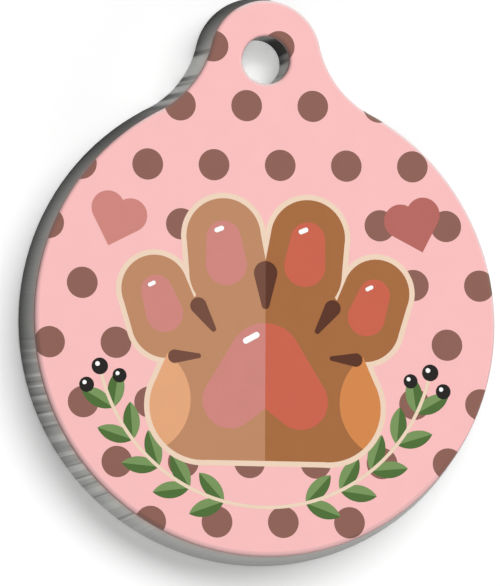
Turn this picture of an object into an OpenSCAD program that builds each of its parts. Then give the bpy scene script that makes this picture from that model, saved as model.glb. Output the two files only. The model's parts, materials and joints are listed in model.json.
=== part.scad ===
// Round pet tag: a steel blank with a hanging tab, coated white and printed in flat colours on its front.
// It lies on its back: +Z is the printed front, +Y points from the round body to the tab, and the
// origin is the centre of the round body on the back face. Lengths are in millimetres.

/* [Blank] */
// Diameter of the round body at the back face
disc_d = 30.3; // [25:0.1:38]
// Diameter of the hanging tab's round end at the back face
tab_d = 7.9; // [6.8:0.1:9]
// How far the tab stands out past the round body
tab_stand = 5.4; // [4.8:0.1:7]
// Radius of the two hollows that run from the round body into the tab
neck_r = 6.05; // [4:0.05:8]
// Thickness of the steel
steel_t = 2.8; // [1.5:0.1:4]
// How much each side of the steel leans in between its back and its front
wall_lean = 0.4; // [0.05:0.05:0.5]
// Width of the broken edges at the back
edge_break = 0.12; // [0.05:0.01:0.25]

/* [Hanging hole] */
// Diameter of the hole for a split ring
hole_d = 3; // [2:0.1:3.6]
// How far the hole's centre lies below the centre of the tab's round end
hole_drop = 0.2; // [0:0.05:0.5]
// Width of the broken edge round the hole's back end
hole_break = 0.12; // [0.05:0.01:0.25]

/* [Coat and ink] */
// Thickness of the white coat under the colours
coat_t = 0.08; // [0.05:0.01:0.2]
// Thickness of the colours, which round over by as much at the rim
ink_t = 0.22; // [0.12:0.01:0.35]

/* [Dots] */
// Diameter of a dot
dot_d = 1.97; // [1:0.01:2.6]
// Distance from dot to dot along a row
dot_pitch = 4.24; // [3.4:0.01:6]
// Distance from row to row
row_pitch = 3.73; // [3:0.01:5]
// Place of one dot across the tag, from which the others follow
dots_x = -1.09; // [-2:0.01:2]
// Place of the same dot along the tag
dots_y = -1.41; // [-2:0.01:2]
// How far the pattern is turned on the tag, in degrees
dots_turn = 0.7; // [-3:0.1:3]

/* [Paw motif] */
// Distance from the round body's front edge to the reach of the motif
motif_margin = 2.2; // [1.6:0.1:4]
// Width of the cream line round the paw
rim_w = 0.34; // [0.2:0.02:0.6]
// Width of the stems of the sprigs
stem_w = 0.22; // [0.16:0.02:0.4]

/* [Hidden] */

$fn = 96;
// Overrun of every cut past the face that it leaves
over = 0.5;
// How far the hollows bite into the round body and the tab, so that they cross and don't just graze
neck_bite = 0.01;

disc_r = disc_d / 2;
tab_r = tab_d / 2;
hole_r = hole_d / 2;
dot_r = dot_d / 2;
tab_rise = disc_r + tab_stand - tab_r;
hole_y = tab_rise - hole_drop;
coat_z = steel_t;
ink_z = coat_z + coat_t;

// A hollow's centre is one hollow radius, less the bite, away from both the round body and the tab
disc_to_neck = disc_r + neck_r - neck_bite;
tab_to_neck = tab_r + neck_r - neck_bite;
neck_y = (disc_to_neck ^ 2 - tab_to_neck ^ 2 + tab_rise ^ 2) / (2 * tab_rise);
neck_x = sqrt(disc_to_neck ^ 2 - neck_y ^ 2);

// Height and inset of the bands of the colours' edge, as shares of their thickness
round_shares = [[0, 0], [0.5, 0.13], [0.85, 0.47], [1, 1]];
// Least that a dot reaches in from the front edge to be printed
dot_least = 0.08;

// Shares of the motif's reach: x, y and radius of the circles that the paw is drawn with, on its right side
motif_r = disc_r - wall_lean - motif_margin;
heel_share = [0.32, -0.43, 0.27];
crown_share = [0, -0.17, 0.46];
outer_toe_shares = [[0.505, -0.015, 0.18], [0.565, 0.15, 0.17]];
inner_toe_shares = [[0.19, 0.24, 0.2], [0.215, 0.42, 0.19]];
patch_share = [0.66, -0.4, 0.28];
main_pad_shares = [[0.18, -0.4, 0.14], [0, -0.2, 0.19]];
outer_pad_shares = [[0.515, 0.03, 0.095], [0.555, 0.14, 0.08]];
inner_pad_shares = [[0.2, 0.28, 0.105], [0.215, 0.41, 0.088]];
parting_shares = [[0, 0.24, 0.06], [0, 0.08, 0.02]];
stripe_shares = [[[0.342, 0.07, 0.042], [0.265, -0.045, 0.014]],
                 [[0.462, -0.185, 0.034], [0.34, -0.18, 0.012]]];
shine_shares = [[[-0.1, -0.1, 0.015], [-0.045, -0.07, 0.015]],
                [[-0.25, 0.45, 0.012], [-0.225, 0.46, 0.012]],
                [[0.18, 0.45, 0.012], [0.205, 0.46, 0.012]],
                [[-0.59, 0.17, 0.01], [-0.57, 0.18, 0.01]],
                [[0.52, 0.17, 0.01], [0.54, 0.18, 0.01]]];
// How far the straight sides of an egg end inside its circles
side_share = 0.995;

// The sprigs lie along a circle round the paw; turns are measured from straight down
sprig_share = 0.86;
sprig_drop_share = 0.07;
leaf_turns = [14, 26.5, 39, 51.5, 64];
leaf_length_share = 0.19;
leaf_width_share = 0.085;
leaf_splay = 34;
stem_end_turn = 76;
// Distance from the sprigs' circle as a share, turn, and radius as a share
berry_shares = [[0, 78.5, 0.042], [0.087, 73.8, 0.038], [-0.087, 73.8, 0.036]];
berry_shine_share = 0.28;
heart_share = [0.765, 0.475, 0.085];
heart_tilt = 18;

function motif(shares) = motif_r * shares;

// A cut that runs on past both faces of its layer by the layer's own height, at the same slope
module layer_cut(place, low, high, low_r, high_r)
    translate([place[0], place[1], 2 * low - high])
        cylinder(h = 3 * (high - low), r1 = 2 * low_r - high_r, r2 = 2 * high_r - low_r);

// A layer with the tag's outline, between two heights. Its edge lies one inset inside the back
// face's edge at the bottom and the other at the top: cones round the body and the tab, a web
// between their centres, and two cones that cut the hollows.
module tag_layer(low, high, low_inset, high_inset) difference() {
    translate([0, 0, low]) {
        cylinder(h = high - low, r1 = disc_r - low_inset, r2 = disc_r - high_inset);
        translate([0, tab_rise, 0])
            cylinder(h = high - low, r1 = tab_r - low_inset, r2 = tab_r - high_inset);
        linear_extrude(high - low)
            polygon([[0, 0], [neck_x, neck_y], [0, tab_rise], [-neck_x, neck_y]]);
    }
    for (side = [-1, 1])
        layer_cut([side * neck_x, neck_y], low, high, neck_r + low_inset, neck_r + high_inset);
}

// The colours round over at the rim and round the hole, in bands that follow a quarter circle
module ink_layer()
    for (band = [1:len(round_shares) - 1]) {
        low = ink_z + ink_t * round_shares[band - 1][0];
        high = ink_z + ink_t * round_shares[band][0];
        low_inset = ink_t * round_shares[band - 1][1];
        high_inset = ink_t * round_shares[band][1];
        difference() {
            tag_layer(low, high, wall_lean + low_inset, wall_lean + high_inset);
            layer_cut([0, hole_y], low, high, hole_r + low_inset, hole_r + high_inset);
        }
    }

// Egg with straight sides between two circles, each given as x, y and radius. The sides end a
// touch inside the circles, so that they cross them and don't just graze them.
module egg(a, b) {
    step = [b[0] - a[0], b[1] - a[1]];
    along = step / norm(step);
    across = [-along[1], along[0]];
    s = (a[2] - b[2]) / norm(step);
    c = sqrt(1 - s ^ 2);
    for (end = [a, b])
        translate([end[0], end[1]]) circle(end[2]);
    polygon([for (corner = [[a, -1], [b, -1], [b, 1], [a, 1]])
        [corner[0][0], corner[0][1]]
            + side_share * corner[0][2] * (s * along + corner[1] * c * across)]);
}
function grown(ring, by) = [ring[0], ring[1], ring[2] + by];
module both_sides() {
    children();
    mirror([1, 0]) children();
}
module right_half() translate([0, -disc_d]) square([disc_d, 2 * disc_d]);
module left_half() mirror([1, 0]) right_half();

function mirrored(ring) = [-ring[0], ring[1], ring[2]];
// Three circles joined by eggs and filled between their centres
module trefoil(top, foot) {
    for (pair = [[top, foot], [foot, mirrored(foot)], [mirrored(foot), top]])
        egg(pair[0], pair[1]);
    polygon([for (ring = [top, mirrored(foot), foot]) [ring[0], ring[1]]]);
}
module palm(by = 0) trefoil(grown(motif(crown_share), by), grown(motif(heel_share), by));
module toes(by = 0) both_sides()
    for (toe = [outer_toe_shares, inner_toe_shares])
        egg(grown(motif(toe[0]), by), grown(motif(toe[1]), by));
module paw(by = 0) {
    palm(by);
    toes(by);
}
module stripes() intersection() {
    paw();
    union() {
        egg(motif(parting_shares[0]), motif(parting_shares[1]));
        both_sides() for (stripe = stripe_shares)
            egg(motif(stripe[0]), motif(stripe[1]));
    }
}
module patches() difference() {
    both_sides() intersection() {
        palm();
        translate(motif([patch_share[0], patch_share[1]])) circle(motif(patch_share[2]));
    }
    stripes();
}
module pads() {
    both_sides() for (pad = [main_pad_shares, outer_pad_shares, inner_pad_shares])
        egg(motif(pad[0]), motif(pad[1]));
}

// Puts its children on the sprigs' circle, with +X along the stem and away from its root
module on_sprig(turn, off = 0)
    translate([0, -motif(sprig_drop_share)]) rotate(turn)
        translate([0, -motif(sprig_share) - off]) children();
module stems() both_sides()
    intersection() {
        translate([0, -motif(sprig_drop_share)]) difference() {
            circle(motif(sprig_share) + stem_w / 2);
            circle(motif(sprig_share) - stem_w / 2);
        }
        translate([0, -motif(sprig_drop_share)])
            polygon(2 * motif_r * [[0, 0], [0, -1], [1, -1], [1, -1 / tan(stem_end_turn)]]);
    }
// Leaf with its foot at the origin, pointing along +X: two arcs that cross at foot and tip.
// side picks the upper half, the lower half or, at 0, both
module leaf(side) {
    length = motif(leaf_length_share);
    half_w = motif(leaf_width_share) / 2;
    arc_r = (length ^ 2 / 4 + half_w ^ 2) / (2 * half_w);
    intersection() {
        translate([length / 2, half_w - arc_r]) circle(arc_r);
        translate([length / 2, arc_r - half_w]) circle(arc_r);
        translate([-length, side > 0 ? 0 : -length])
            square([3 * length, side == 0 ? 2 * length : length]);
    }
}
module leaves(side) both_sides()
    for (turn = leaf_turns, splay = [-leaf_splay, leaf_splay])
        on_sprig(turn) rotate(splay) leaf(side);
module berries() both_sides()
    for (berry = berry_shares)
        on_sprig(berry[1], motif(berry[0])) circle(motif(berry[2]));
module hearts() both_sides()
    translate(motif([heart_share[0], heart_share[1]])) rotate(heart_tilt) heart();
module heart() {
    lobe = motif(heart_share[2]);
    rotate(45) square(2 * lobe, center = true);
    for (side = [-1, 1])
        rotate(45 * side) translate([0, lobe]) circle(lobe);
}
module shines() {
    for (shine = shine_shares)
        egg(motif(shine[0]), motif(shine[1]));
    for (side = [-1, 1], berry = berry_shares)
        mirror([side > 0 ? 0 : 1, 0]) on_sprig(berry[1], motif(berry[0]))
            rotate(-berry[1]) translate(motif(berry[2]) * berry_shine_share * [-side, 1])
                circle(motif(berry[2]) * berry_shine_share);
}
module motif_outline() {
    paw(rim_w);
    stems();
    leaves(0);
    berries();
    hearts();
}

module ink(paint)
    color(paint) translate([0, 0, ink_z]) linear_extrude(ink_t) children();

function turned(place) = [cos(dots_turn) * place[0] - sin(dots_turn) * place[1],
                          sin(dots_turn) * place[0] + cos(dots_turn) * place[1]];
dot_rows = ceil((disc_r + tab_stand) / row_pitch) + 1;
dot_columns = ceil(disc_r / dot_pitch) + 1;
dot_places = [
    for (row = [-dot_rows:dot_rows], column = [-dot_columns:dot_columns])
        let (place = turned([dots_x + dot_pitch * (column + (row % 2 == 0 ? 0 : 1 / 2)),
                             dots_y + row_pitch * row]))
        if (min(norm(place) - disc_r, norm(place - [0, tab_rise]) - tab_r) < dot_r - wall_lean - dot_least)
            place];
module dots()
    for (place = dot_places)
        translate(place) circle(dot_r);

module steel_blank() color("silver") difference() {
    union() {
        tag_layer(0, edge_break, edge_break, 0);
        tag_layer(edge_break, steel_t, 0, wall_lean);
    }
    layer_cut([0, hole_y], 0, steel_t, hole_r, hole_r);
    layer_cut([0, hole_y], 0, hole_break, hole_r + hole_break, hole_r);
}
module base_coat() color("white") difference() {
    tag_layer(coat_z, ink_z, wall_lean, wall_lean);
    layer_cut([0, hole_y], coat_z, ink_z, hole_r, hole_r);
}
module pink_ground() color([0.98, 0.75, 0.75]) difference() {
    ink_layer();
    translate([0, 0, ink_z - over]) linear_extrude(ink_t + 2 * over) {
        dots();
        motif_outline();
    }
}
module polka_dots() color([0.56, 0.4, 0.35]) intersection() {
    ink_layer();
    translate([0, 0, ink_z - over]) linear_extrude(ink_t + 2 * over) difference() {
        dots();
        motif_outline();
    }
}
module sprig_stems() ink([0.94, 0.84, 0.74]) difference() {
    stems();
    berries();
    paw(rim_w);
}
module leaf_light() ink([0.47, 0.58, 0.33]) difference() {
    leaves(1);
    stems();
    berries();
    paw(rim_w);
}
module leaf_dark() ink([0.29, 0.42, 0.2]) difference() {
    leaves(-1);
    stems();
    berries();
    paw(rim_w);
}
module sprig_berries() ink([0.08, 0.07, 0.05]) difference() {
    berries();
    shines();
}
module heart_light() ink([0.81, 0.52, 0.49]) intersection() {
    hearts();
    left_half();
}
module heart_dark() ink([0.7, 0.4, 0.38]) intersection() {
    hearts();
    right_half();
}
module paw_rim() ink([0.95, 0.85, 0.75]) difference() {
    paw(rim_w);
    paw();
}
module fur() difference() {
    paw();
    patches();
    stripes();
    pads();
}
module paw_light() ink([0.74, 0.53, 0.39]) intersection() {
    fur();
    left_half();
}
module paw_dark() ink([0.64, 0.41, 0.24]) intersection() {
    fur();
    right_half();
}
module patch_light() ink([0.9, 0.65, 0.48]) intersection() {
    patches();
    left_half();
}
module patch_dark() ink([0.83, 0.53, 0.29]) intersection() {
    patches();
    right_half();
}
module stripe_light() ink([0.44, 0.28, 0.22]) intersection() {
    stripes();
    left_half();
}
module stripe_dark() ink([0.33, 0.18, 0.11]) intersection() {
    stripes();
    right_half();
}
module pad_light() ink([0.86, 0.58, 0.55]) intersection() {
    difference() {
        pads();
        shines();
    }
    left_half();
}
module pad_dark() ink([0.79, 0.38, 0.29]) intersection() {
    difference() {
        pads();
        shines();
    }
    right_half();
}
module white_shines() ink("white") shines();

steel_blank();
base_coat();
pink_ground();
polka_dots();
sprig_stems();
leaf_light();
leaf_dark();
sprig_berries();
heart_light();
heart_dark();
paw_rim();
paw_light();
paw_dark();
patch_light();
patch_dark();
stripe_light();
stripe_dark();
pad_light();
pad_dark();
white_shines();
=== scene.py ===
import bpy
import json
import math
from mathutils import Matrix, Vector


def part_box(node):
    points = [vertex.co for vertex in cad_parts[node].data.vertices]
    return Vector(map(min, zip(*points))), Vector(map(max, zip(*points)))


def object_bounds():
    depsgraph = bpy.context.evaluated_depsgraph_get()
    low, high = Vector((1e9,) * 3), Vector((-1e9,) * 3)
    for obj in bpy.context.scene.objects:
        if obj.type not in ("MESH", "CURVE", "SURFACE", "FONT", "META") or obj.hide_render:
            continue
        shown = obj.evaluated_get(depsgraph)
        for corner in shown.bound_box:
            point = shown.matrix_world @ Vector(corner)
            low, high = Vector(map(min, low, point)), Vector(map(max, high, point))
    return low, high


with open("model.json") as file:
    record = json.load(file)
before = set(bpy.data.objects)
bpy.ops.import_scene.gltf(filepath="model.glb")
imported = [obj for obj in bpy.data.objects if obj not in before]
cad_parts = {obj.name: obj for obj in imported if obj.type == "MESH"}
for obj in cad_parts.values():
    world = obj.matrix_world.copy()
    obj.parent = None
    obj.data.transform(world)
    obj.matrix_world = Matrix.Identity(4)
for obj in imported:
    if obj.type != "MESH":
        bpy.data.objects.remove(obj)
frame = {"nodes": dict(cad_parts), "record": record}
cadLow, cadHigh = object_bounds()
bpy.ops.object.select_all(action="DESELECT")
bpy.context.scene.view_settings.view_transform = "Standard"
mm = 0.001
print("frame:", len(frame["nodes"]), "pieces of the tag are in place")


class Wire:  # one output in a node tree, which plain sums can be written with
    def __init__(self, tree, socket=None):
        self.tree = tree
        self.socket = socket

    def node(self, kind, settings=None, sockets=None, output=0):
        made = self.tree.nodes.new("ShaderNode" + kind)
        for name, value in (settings or {}).items():
            if name == "stops":
                fillRamp(made.color_ramp, value)
            else:
                setattr(made, name, value)
        for name, value in (sockets or {}).items():
            if isinstance(value, Wire):
                self.tree.links.new(value.socket, made.inputs[name])
            else:
                made.inputs[name].default_value = value
        return Wire(self.tree, made.outputs[output])

    def maths(self, operation, first, second=0.0):
        return self.node("Math", {"operation": operation}, {0: first, 1: second})

    def vector(self, operation, sockets, output=0):
        return self.node("VectorMath", {"operation": operation}, sockets, output)

    def mix(self, factor, first, second):  # two colours
        sockets = {"Factor": factor, 6: first, 7: second}
        return self.node("Mix", {"data_type": "RGBA"}, sockets, output=2)

    def between(self, low, high, bottom=0.0, top=1.0):  # a soft step over this value
        settings = {"interpolation_type": "SMOOTHSTEP"}
        sockets = {"Value": self, "From Min": low, "From Max": high, "To Min": bottom, "To Max": top}
        return self.node("MapRange", settings, sockets)

    def axis(self, name):  # one coordinate of this vector
        return self.node("SeparateXYZ", sockets={"Vector": self}, output=name)

    def level(self):  # this vector without its height
        return self.vector("MULTIPLY", {0: self, 1: (1.0, 1.0, 0.0)})

    def length(self):
        return self.vector("LENGTH", {0: self}, output=1)

    def towards(self, direction):  # 1 where this vector points that way, -1 where it points straight away
        unit = self.vector("NORMALIZE", {0: self})
        return self.vector("DOT_PRODUCT", {0: unit, 1: direction}, output=1)

    def __add__(self, other):
        return self.maths("ADD", self, other)

    def __radd__(self, other):
        return self.maths("ADD", other, self)

    def __sub__(self, other):
        return self.maths("SUBTRACT", self, other)

    def __rsub__(self, other):
        return self.maths("SUBTRACT", other, self)

    def __mul__(self, other):
        return self.maths("MULTIPLY", self, other)

    def __rmul__(self, other):
        return self.maths("MULTIPLY", other, self)


def fillRamp(ramp, stops):
    while len(ramp.elements) < len(stops):
        ramp.elements.new(1.0)
    for element, (place, colour) in zip(ramp.elements, stops):
        element.position = place
        element.color = colour


def linearLevel(level):  # a level as a screen shows it, turned linear
    return level / 12.92 if level <= 0.04045 else ((level + 0.055) / 1.055) ** 2.4


def paint(hexColour):
    levels = [int(hexColour[i:i + 2], 16) / 255 for i in (0, 2, 4)]
    return (*[linearLevel(level) for level in levels], 1.0)


def grey(level):
    return (level, level, level, 1.0)


def startMaterial(name):
    material = bpy.data.materials.new(name)
    material.use_nodes = True
    material.node_tree.nodes.clear()
    return material, Wire(material.node_tree)


def endMaterial(material, surface):
    output = material.node_tree.nodes.new("ShaderNodeOutputMaterial")
    material.node_tree.links.new(surface.socket, output.inputs["Surface"])
    return material


def placeInMm(wire):  # place on the tag, in millimetres
    place = wire.node("TexCoord", output="Object")
    return wire.vector("SCALE", {0: place, "Scale": 1 / mm})


def noise(wire, place, cells, detail=2.0, stretch=(1.0, 1.0, 1.0)):  # cells to the millimetre
    spread = wire.vector("MULTIPLY", {0: place, 1: stretch})
    return wire.node("TexNoise", sockets={"Vector": spread, "Scale": cells, "Detail": detail})


def dress(node, material):
    for slot in frame["nodes"][node].material_slots:
        slot.material = material


# The hanging hole, in millimetres
ringHole = next(mount for mount in frame["record"]["mounts"] if mount["name"] == "ring_hole")
holePlace = [length / mm for length in ringHole["pos_m"][:2]]
holeRadius = ringHole["dims"]["r_mm"]


def fromHole(wire, place):  # distance from the middle of the hanging hole, in millimetres
    return wire.vector("SUBTRACT", {0: place.level(), 1: (*holePlace, 0.0)}).length()


# Painted shade on the side away from the key lamp: the coat's hairline and the print's rim darker, and the
# top of the steel edge tinted warm, on the sides that face this way
paintedShade = {
    "hotSide": (-0.5, -0.87, 0.0),
    "coatFrom": (-0.85, -0.6),  # from 1, straight towards that side, down to -1, straight away from it
    "inkFrom": (-0.6, -0.3),
}


def facesShadedSide(wire, reach):  # 1 where a side of the tag or of its hole faces the shaded side, away from the key lamp
    return wire.node("NewGeometry", output="Normal").level().towards(paintedShade["hotSide"]).between(*reach)


# The steel blank: ground round its edge, brushed on its back; the edge's lightness along the tag is painted
# reflection and shade
steel = {
    "backDark": "8E908C",
    "backLight": "BDBEB9",
    "hue": (0.995, 1.0, 0.97),
    "flatFrom": (0.75, 0.95),  # how straight up or down a face looks where the back's finish takes over
    "roughness": 0.32,
    "roughnessGrain": 0.1,
    "metallic": 0.8,
    "grazing": "808080",  # tint of what it reflects at a low angle
    "wallLean": 0.4,  # how far the outer side leans in from the back to the front
    "edgeTones": (  # places along the tag in millimetres, and how light the ground edge is painted there, as reflection and shade
        (-14.8, 0.83),
        (-12.6, 0.84),
        (-10.6, 0.82),
        (-8.2, 0.72),
        (-5.2, 0.67),
        (-1.4, 0.55),
        (6.1, 0.55),
        (9.4, 0.48),
        (11.4, 0.385),
        (12.7, 0.38),
        (13.2, 0.5),
        (13.8, 0.77),
        (14.5, 0.81),
        (16.5, 0.81),
        (17.1, 0.62),
        (17.7, 0.53),
        (18.6, 0.47),
        (20.2, 0.25),
    ),
    "neckBands": (  # painted dark reflection bands across the edge: place along the tag, reach and strength
        (13.35, 0.25, 0.45),
        (14.12, 0.34, 0.62),
        (14.91, 0.18, 0.42),
        (15.27, 0.26, 0.52),
        (16.92, 0.25, 0.45),
    ),
    "bandCore": 0.3,  # the share of its reach in which a band has its whole strength
    "boreTones": (  # places along the tag, and how light the bore is painted there, as shade
        (15.1, 0.91),
        (15.3, 0.98),
        (15.56, 0.76),
        (15.84, 0.94),
        (16.16, 0.92),
        (16.45, 0.44),
        (16.75, 0.62),
        (16.95, 0.28),
        (17.3, 0.26),
        (17.55, 0.18),
        (17.76, 0.3),
        (17.88, 0.7),
    ),
    "boreReach": (0.1, 0.5),  # how far outside the hole's radius those tones start to end, and have ended
    "brightest": 0.74,  # nothing on the edge is lighter than this
    "barPitch": 0.8,  # light ground lines across the edge: the lines are grain, their light a painted glint
    "barStray": 4.0,
    "barStrayCells": 1.8,
    "barSlant": 0.2,  # how far a line runs on along the edge from the back to the front
    "barFrom": (0.66, 0.97),  # how high on its wave a line starts, and has its whole light
    "barLight": 0.58,
    "streakCells": 2.6,  # dark streaks between them
    "streakFrom": (0.36, 0.46),
    "streakDark": 0.42,
    "clusterCells": 0.7,  # the lines come and go along the edge
    "clusterFrom": (0.38, 0.55),
    "clusterStrength": (0.6, 1.1),
    "barSpots": ((-12.6, -8.0, 8.6), (12.6, 8.0, 8.6)),  # where the painted glint shows: place and reach
    "spotCore": 0.5,  # the share of its reach in which a spot has its whole strength
    "backShade": 0.6,  # painted shade: how much darker dark steel is at the back, and lighter at the front
    "shadeLevels": (0.22, 0.6),  # steel darker than the first has all of it, and lighter than the second none
    # a warm painted shade high on the edge, on the side away from the key lamp
    "heatTint": (1.0, 0.86, 0.82),
    "heatFrom": 2.0,  # how far up the edge the tint starts
    "grainCells": 10.4,  # fine grain over all of it
    "grainBase": 0.9,
    "grainSwing": 0.2,
    "grainDepth": 0.015 * mm,
    "grainBump": 0.5,
    "brushCells": 9.0,
    "brushStretch": (0.05, 1.0, 1.0),  # long along the tag's width
}
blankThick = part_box("steel_blank")[1].z / mm
waveLength = math.pi / 10  # how far apart a wave texture's bands are at a scale of 1


def tonesAlong(wire, height, tones):  # how light the steel is painted, from the tag's foot to its head
    low, high = tones[0][0], tones[-1][0]
    stops = [((y - low) / (high - low), grey(linearLevel(level))) for y, level in tones]
    return wire.node("ValToRGB", {"stops": stops}, {"Fac": (height - low) * (1 / (high - low))}).axis("Y")


# painted reflection and shade along the edge and in the bore
def paintedSteelTones(wire, height, inHole):
    edge = tonesAlong(wire, height, steel["edgeTones"])
    for y, reach, strength in steel["neckBands"]:
        apart = wire.maths("ABSOLUTE", height - y)
        edge = edge * apart.between(steel["bandCore"] * reach, reach, 1 - strength, 1.0)
    bore = tonesAlong(wire, height, steel["boreTones"])
    return edge + inHole * (bore - edge)


def edgeFoot(wire, place, facing, climb):  # where a line that passes here stands on the edge's foot
    outward = wire.vector("SCALE", {0: facing, "Scale": steel["wallLean"] * climb})
    onward = wire.vector("CROSS_PRODUCT", {0: facing, 1: (0.0, 0.0, 1.0)})
    onward = wire.vector("SCALE", {0: onward, "Scale": steel["barSlant"] * climb})
    return wire.vector("ADD", {0: place, 1: wire.vector("ADD", {0: outward, 1: onward})}).level()


def groundLines(wire, place, foot):  # how much lighter or darker the lines make the edge: painted glints on the grain, only where the spots allow
    wave = wire.node("TexWave", {"bands_direction": "Y"}, {
        "Vector": foot,
        "Scale": waveLength / steel["barPitch"],
        "Distortion": steel["barStray"],
        "Detail": 0.0,
        "Detail Scale": steel["barStrayCells"],
    }, output="Fac")
    lines = wave.between(*steel["barFrom"], 0.0, steel["barLight"])
    streaks = noise(wire, foot, steel["streakCells"], detail=1.0)
    streaks = streaks.between(*steel["streakFrom"], steel["streakDark"], 0.0)
    clusters = noise(wire, foot, steel["clusterCells"], detail=1.0)
    clusters = clusters.between(*steel["clusterFrom"], *steel["clusterStrength"])
    glintSpots = 0.0
    for x, y, reach in steel["barSpots"]:
        apart = wire.vector("SUBTRACT", {0: place, 1: (x, y, cadHigh.z / 2 / mm)}).length()
        glintSpots = glintSpots + apart.between(steel["spotCore"] * reach, reach, 1.0, 0.0)
    return (lines - streaks) * clusters * glintSpots


def steelMaterial():
    material, wire = startMaterial("milledSteel")
    place = placeInMm(wire)
    facing = wire.node("NewGeometry", output="Normal")
    flat = wire.maths("ABSOLUTE", facing.axis("Z")).between(*steel["flatFrom"])
    inHole = fromHole(wire, place).between(*[holeRadius + reach for reach in steel["boreReach"]], 1.0, 0.0)
    rise = place.axis("Z") * (1 / blankThick)
    foot = edgeFoot(wire, place, facing, rise * (1 - inHole))
    fine = noise(wire, foot, steel["grainCells"], detail=3.0)
    brushed = noise(wire, place, steel["brushCells"], detail=3.0, stretch=steel["brushStretch"])
    level = paintedSteelTones(wire, place.axis("Y"), inHole)
    grain = steel["grainBase"] + steel["grainSwing"] * fine + groundLines(wire, place, foot)
    shade = 1 + level.between(*steel["shadeLevels"], steel["backShade"], 0.0) * (2 * rise - 1)
    ground = wire.maths("MINIMUM", level * grain, steel["brightest"])
    onEdge = wire.vector("SCALE", {0: steel["hue"], "Scale": ground * shade})
    # painted shade: a warm tint high on the edge on the side away from the key lamp
    shadedTop = rise.between(steel["heatFrom"] / blankThick, 1.0) * facesShadedSide(wire, paintedShade["coatFrom"])
    onEdge = wire.mix(shadedTop, onEdge, wire.vector("MULTIPLY", {0: onEdge, 1: steel["heatTint"]}))
    onBack = wire.mix(brushed, paint(steel["backDark"]), paint(steel["backLight"]))
    bump = wire.node("Bump", sockets={
        "Strength": steel["grainBump"],
        "Distance": steel["grainDepth"],
        "Height": fine + flat * (brushed - fine),
    })
    surface = wire.node("BsdfPrincipled", sockets={
        "Base Color": wire.mix(flat, onEdge, onBack),
        "Metallic": steel["metallic"],
        "Roughness": steel["roughness"] + steel["roughnessGrain"] * (1 - fine),
        "Specular Tint": paint(steel["grazing"]),
        "Normal": bump,
    })
    return endMaterial(material, surface)


# The white coat shows only as a hairline round the edge, painted dark as shade on the side away from the key
# lamp
coat = {
    "colour": "E9E5E0",
    # the hairline's painted shade, also used at the ink's foot
    "scorch": "8A706B",
    "roughness": 0.5,
}


def coatMaterial():
    material, wire = startMaterial("scorchedCoat")
    inShade = facesShadedSide(wire, paintedShade["coatFrom"])
    surface = wire.node("BsdfPrincipled", sockets={
        "Base Color": wire.mix(inShade, paint(coat["colour"]), paint(coat["scorch"])),
        "Roughness": coat["roughness"],
    })
    return endMaterial(material, surface)


# The printed colours, one for each node that carries ink
inks = {
    "pink_ground": "F9BFBE",
    "polka_dots": "8B5F54",
    "sprig_stems": "EFD7BE",
    "leaf_light": "76945A",
    "leaf_dark": "4A6B33",
    "sprig_berries": "13110D",
    "heart_light": "CE857D",
    "heart_dark": "B5665F",
    "paw_rim": "F0D5BD",
    "paw_light": "BD8864",
    "paw_dark": "A4693C",
    "patch_light": "E5A77B",
    "patch_dark": "D4874B",
    "stripe_light": "704839",
    "stripe_dark": "552E1D",
    "pad_light": "CE857D",
    "pad_dark": "C9624B",
    "white_shines": "FFFFFF",
}
inkFinish = {
    "roughness": 0.36,
    "roughnessMottle": 0.1,
    "specular": 0.12,
    "peelCells": 3.5,  # orange peel of the gloss, to the millimetre
    "peelDepth": 0.004 * mm,
    "peelBump": 0.4,
    "toneBase": 0.96,  # the colours are mottled and grained from this share of them up
    "mottleCells": 0.7,
    "mottleSwing": 0.05,
    "grainCells": 14.0,
    "grainSwing": 0.03,
    "rimHigh": 0.215,  # how far up the ink its rounded rim reaches, in millimetres
    "paleHigh": 0.22,
    # how far up the ink the painted shade at its foot reaches
    "scorchHigh": 0.13,
    "edgeBlur": 0.05,
    "paleBlur": 0.035,
    "rimGrey": "A79A9B",
    "rimDull": 0.2,  # how far the rim turns to that grey on the shaded side, as painted shade
    "rimDark": 0.85,
    "rimPale": (0.8, 1.11, 1.11),  # on the lit side the rim's colour is turned paler by this much, as a painted highlight
    "smokeSide": (-0.37, -0.93, 0.0),  # and the round body's print is painted darker further in on this side, as shade
    "smokeFrom": (0.1, 0.45),
    "smokeReach": (0.24, 0.33),  # how far in, in millimetres, that painted shade starts to end, and has ended
    "smokeTint": (0.83, 0.88, 0.89),
}
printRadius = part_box("pink_ground")[1].x / mm
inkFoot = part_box("base_coat")[1].z / mm


def underInk(height, rise, blur):  # 1 lower than this far up the ink
    return (height - rise).between(-blur, 0.0, 1.0, 0.0)


def smokeTint(wire, place):  # what the ink's colour is multiplied by, for painted shade near the round body's edge
    side = place.level().towards(inkFinish["smokeSide"]).between(*inkFinish["smokeFrom"])
    inward = printRadius - place.level().length()
    printShade = side * inward.between(*inkFinish["smokeReach"], 1.0, 0.0)
    return wire.mix(printShade, grey(1.0), (*inkFinish["smokeTint"], 1.0))


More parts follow.
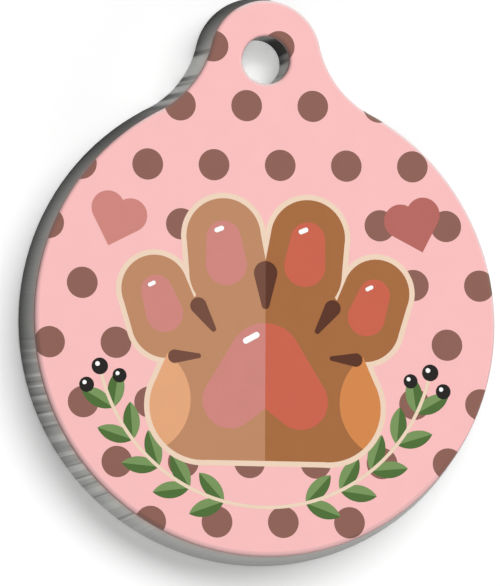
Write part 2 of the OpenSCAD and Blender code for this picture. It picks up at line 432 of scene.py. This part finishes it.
def edgedInk(wire, place, toned):  # the ink's colour, with its rim painted dark as shade on one side and pale as a highlight on the other, painted shade further in, and painted shade at its foot
    height = place.axis("Z") - inkFoot
    rim = underInk(height, inkFinish["rimHigh"], inkFinish["edgeBlur"])
    duller = wire.mix(inkFinish["rimDull"], toned, paint(inkFinish["rimGrey"]))
    darker = wire.vector("SCALE", {0: duller, "Scale": inkFinish["rimDark"]})
    litRim = underInk(height, inkFinish["paleHigh"], inkFinish["paleBlur"])
    litRimColour = wire.vector("MULTIPLY", {0: toned, 1: inkFinish["rimPale"]})
    # painted shade on the rim's shaded side, a painted highlight on its lit side
    onShadedSide = wire.mix(rim, toned, darker)
    onLitSide = wire.mix(litRim, toned, litRimColour)
    edged = wire.mix(facesShadedSide(wire, paintedShade["inkFrom"]), onLitSide, onShadedSide)
    shadedPrint = wire.vector("MULTIPLY", {0: edged, 1: smokeTint(wire, place)})
    # painted shade at the ink's foot on the shaded side
    foot = underInk(height, inkFinish["scorchHigh"], inkFinish["edgeBlur"])
    return wire.mix(foot * facesShadedSide(wire, paintedShade["coatFrom"]), shadedPrint, paint(coat["scorch"]))


def inkMaterial(name, hexColour):
    material, wire = startMaterial(name)
    place = placeInMm(wire)
    mottle = noise(wire, place, inkFinish["mottleCells"])
    grain = noise(wire, place, inkFinish["grainCells"])
    tone = inkFinish["toneBase"] + inkFinish["mottleSwing"] * mottle + inkFinish["grainSwing"] * grain
    toned = wire.vector("SCALE", {0: paint(hexColour)[:3], "Scale": tone})
    bump = wire.node("Bump", sockets={
        "Strength": inkFinish["peelBump"],
        "Distance": inkFinish["peelDepth"],
        "Height": noise(wire, place, inkFinish["peelCells"]),
    })
    surface = wire.node("BsdfPrincipled", sockets={
        "Base Color": edgedInk(wire, place, toned),
        "Roughness": inkFinish["roughness"] + inkFinish["roughnessMottle"] * mottle,
        "Specular IOR Level": inkFinish["specular"],
        "Normal": bump,
    })
    return endMaterial(material, surface)


dress("steel_blank", steelMaterial())
dress("base_coat", coatMaterial())
for node, hexColour in inks.items():
    dress(node, inkMaterial(node + "Ink", hexColour))
print("materials: steel, coat and", len(inks), "inks")

# The floor and the world are white to the camera and in reflections; the floor keeps the tag's shadow
studio = {
    "floorSize": 2.0,
    "floorDrop": 0.01 * mm,
    "floorColour": 0.92,
    "floorGlow": 0.15,
    "farGlow": (0.1, 1.0, 0.5),  # in metres from the tag, where more glow starts and is whole, and how much
    "holeGlow": 0.26,  # painted light: how much lighter the table is below the hole
    "glowShift": (0.35, 0.6),  # how far to the side of the hole, in millimetres, that patch lies
    "glowReach": (0.7, 2.3),
    "worldLevel": 0.17,
}


def seenDirectly(wire):  # 1 for the camera, and in reflections and through glass
    camera = wire.node("LightPath", output="Is Camera Ray")
    glossy = wire.node("LightPath", output="Is Glossy Ray")
    through = wire.node("LightPath", output="Is Transmission Ray")
    return camera + glossy + through


def makeFloor():
    bpy.ops.mesh.primitive_plane_add(size=studio["floorSize"], location=(0, 0, -studio["floorDrop"]))
    floor = bpy.context.object
    floor.name = "whiteTable"
    material, wire = startMaterial("whiteTable")
    matt = wire.node("BsdfDiffuse", sockets={"Color": grey(studio["floorColour"])})
    patch = wire.vector("SUBTRACT", {0: placeInMm(wire), 1: (*studio["glowShift"], 0.0)})
    # a painted pool of light on the table below the hanging hole
    paintedPool = fromHole(wire, patch).between(*studio["glowReach"], studio["holeGlow"], 0.0)
    start, end, most = studio["farGlow"]
    away = wire.node("TexCoord", output="Object").length().between(start, end, 0.0, most)
    strength = (studio["floorGlow"] + paintedPool + away) * seenDirectly(wire)
    glow = wire.node("Emission", sockets={"Strength": strength})
    surface = wire.node("AddShader", sockets={0: matt, 1: glow})
    floor.data.materials.append(endMaterial(material, surface))


def makeWorld():
    world = bpy.data.worlds.new("paleStudio")
    world.use_nodes = True
    world.node_tree.nodes.clear()
    wire = Wire(world.node_tree)
    strength = studio["worldLevel"] + (1 - studio["worldLevel"]) * seenDirectly(wire)
    background = wire.node("Background", sockets={"Color": grey(1.0), "Strength": strength})
    output = world.node_tree.nodes.new("ShaderNodeOutputWorld")
    world.node_tree.links.new(background.socket, output.inputs["Surface"])
    bpy.context.scene.world = world


# Azimuth and elevation are where a lamp stands, seen from the tag: 0 is +X and 90 is the tab's side.
# Its share is how much of white it makes a white table by itself.
lamps = {
    "key": {
        "azimuth": 62,
        "elevation": 53,
        "distance": 1.2,
        "size": (1.6, 0.8),
        "share": 0.92,
        "gloss": True,
    },
    "lowFill": {
        "azimuth": -85,
        "elevation": 10,
        "distance": 1.2,
        "size": (1.2, 0.4),
        "share": 0.1,
        "gloss": False,  # it would burn out the edge where the steel mirrors it
    },
}


def makeLamp(name):
    lamp = lamps[name]
    turn, rise = math.radians(lamp["azimuth"]), math.radians(lamp["elevation"])
    outward = Vector((math.cos(turn) * math.cos(rise), math.sin(turn) * math.cos(rise), math.sin(rise)))
    bpy.ops.object.light_add(type="AREA", location=outward * lamp["distance"])
    light = bpy.context.object
    light.name = name + "Lamp"
    light.rotation_mode = "QUATERNION"
    light.rotation_quaternion = outward.to_track_quat("Z", "Y")
    light.visible_glossy = lamp["gloss"]
    light.data.shape = "ELLIPSE"
    light.data.size, light.data.size_y = lamp["size"]
    light.data.energy = lamp["share"] * (math.pi * lamp["distance"]) ** 2 / math.sin(rise)


makeFloor()
makeWorld()
for name in lamps:
    makeLamp(name)
print("studio: white table, white world and", len(lamps), "lamps")

# The camera stands a little to the left of the tag and below it, far off, with a long lens
view = {
    "lens": 1200,  # short enough that the other views, as far off as it makes them, still reach the tag
    "yaw": 12.5,
    "pitch": 4.8,
    "roll": 0.2,
    "imageSize": (500, 586),
    "discCentrePixel": (265.5, 321.1),  # where the middle of the round body shows
    "pixelsPerMm": 16.0,
    "clipShares": (0.01, 100),  # nearest and furthest that it sees, as shares of its distance
}


def makeCamera():
    yaw, pitch = math.radians(view["yaw"]), math.radians(view["pitch"])
    back = Vector((-math.sin(yaw) * math.cos(pitch), -math.sin(pitch), math.cos(yaw) * math.cos(pitch)))
    plumb = (Vector((0, 1, 0)) - back * back.y).normalized()
    up = Matrix.Rotation(math.radians(view["roll"]), 3, back) @ plumb
    right = up.cross(back)
    wide, high = view["imageSize"]
    pixel = mm / view["pixelsPerMm"]
    across = (view["discCentrePixel"][0] - wide / 2) * pixel
    down = (view["discCentrePixel"][1] - high / 2) * pixel
    discCentre = Vector((0, 0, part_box("pink_ground")[1].z))
    target = discCentre - right * across + up * down
    bpy.ops.object.camera_add()
    camera = bpy.context.object
    camera.name = "frontCamera"
    camera.data.lens = view["lens"]
    distance = high * pixel * view["lens"] / camera.data.sensor_width
    turned = Matrix((right, up, back)).transposed().to_4x4()
    camera.matrix_world = Matrix.Translation(target + back * distance) @ turned
    camera.data.clip_start, camera.data.clip_end = [share * distance for share in view["clipShares"]]
    bpy.context.scene.camera = camera


makeCamera()
print("camera: in place")
